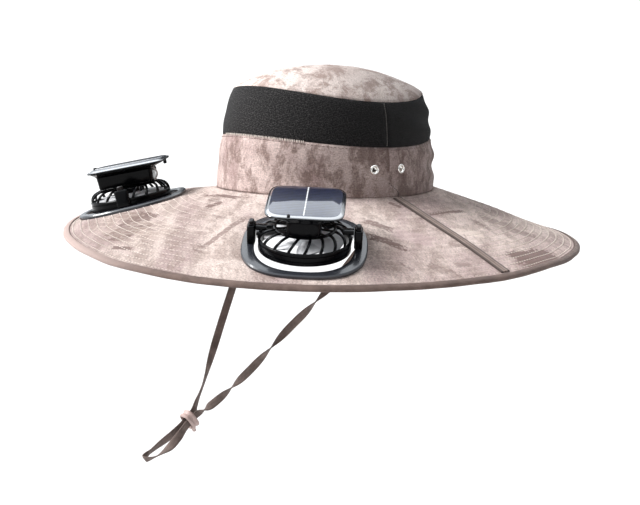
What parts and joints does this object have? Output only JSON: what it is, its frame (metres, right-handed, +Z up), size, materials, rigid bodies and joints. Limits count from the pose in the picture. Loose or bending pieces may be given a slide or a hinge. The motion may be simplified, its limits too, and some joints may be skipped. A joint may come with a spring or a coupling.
{
  "type": "solar fan hat",
  "caption": "Wide-brimmed cloth sun hat with a mesh band round the crown, small solar-driven fans standing on the brim and a cord chin strap with a slider.",
  "frame": {"origin": "centre of the head opening, in the plane where the crown meets the brim", "axes": "+Z up through the crown, -Y towards the front of the hat, +X towards the wearer's left"},
  "size_m": [0.4165, 0.4484, 0.3084],
  "materials": {
    "camo_cloth": "matt cotton twill with a mottled print",
    "tip_cloth": "matt cotton twill, sun-bleached print",
    "mesh_cloth": "fine charcoal net",
    "binding_cloth": "woven bias tape",
    "webbing": "woven webbing",
    "eyelet_metal": "nickel plated",
    "black_plastic": "glossy moulded",
    "rotor_plastic": "pale moulded",
    "solar_cell": "clear resin over a dark blue cell",
    "strap_cord": "flat woven cord",
    "toggle_plastic": "satin bead"
  },
  "bodies": {
    "hat": {"crown_tip": "tip_cloth", "crown_mesh_band": "mesh_cloth", "crown_side_band": "camo_cloth", "brim": "camo_cloth", "brim_binding": "binding_cloth", "brim_tape_left": "webbing", "brim_tape_right": "webbing", "eyelet_left_front": "eyelet_metal", "eyelet_left_back": "eyelet_metal", "eyelet_right_front": "eyelet_metal", "eyelet_right_back": "eyelet_metal", "fan_left_base_plate": "black_plastic", "fan_left_post_front": "black_plastic", "fan_left_post_back": "black_plastic", "fan_right_base_plate": "black_plastic", "fan_right_post_front": "black_plastic", "fan_right_post_back": "black_plastic", "chin_strap": "strap_cord", "strap_toggle": "toggle_plastic"},
    "fan_left_head": {"fan_left_cage": "black_plastic", "fan_left_housing": "black_plastic", "fan_left_solar_panel": "solar_cell"},
    "fan_left_blades": {"fan_left_rotor": "rotor_plastic"},
    "fan_right_head": {"fan_right_cage": "black_plastic", "fan_right_housing": "black_plastic", "fan_right_solar_panel": "solar_cell"},
    "fan_right_blades": {"fan_right_rotor": "rotor_plastic"}
  },
  "joints": [
    {"name": "fan_left_tilt", "type": "hinge", "parent": "hat", "child": "fan_left_head", "pos_m": [0.11287, -0.12577, -0.01592], "axis": [0.7091, 0.7046, -0.0278], "range_deg": [-12.5, 27.5]},
    {"name": "fan_left_spin", "type": "hinge", "parent": "fan_left_head", "child": "fan_left_blades", "pos_m": [0.11209, -0.12514, -0.01979], "axis": [0.1964, -0.1594, 0.9675], "continuous": true},
    {"name": "fan_right_tilt", "type": "hinge", "parent": "hat", "child": "fan_right_head", "pos_m": [-0.11107, -0.12494, -0.00496], "axis": [0.7202, -0.6935, -0.0169], "range_deg": [-17.5, 22.5]},
    {"name": "fan_right_spin", "type": "hinge", "parent": "fan_right_head", "child": "fan_right_blades", "pos_m": [-0.11054, -0.12429, -0.00887], "axis": [-0.1336, -0.1625, 0.9776], "continuous": true}
  ]
}
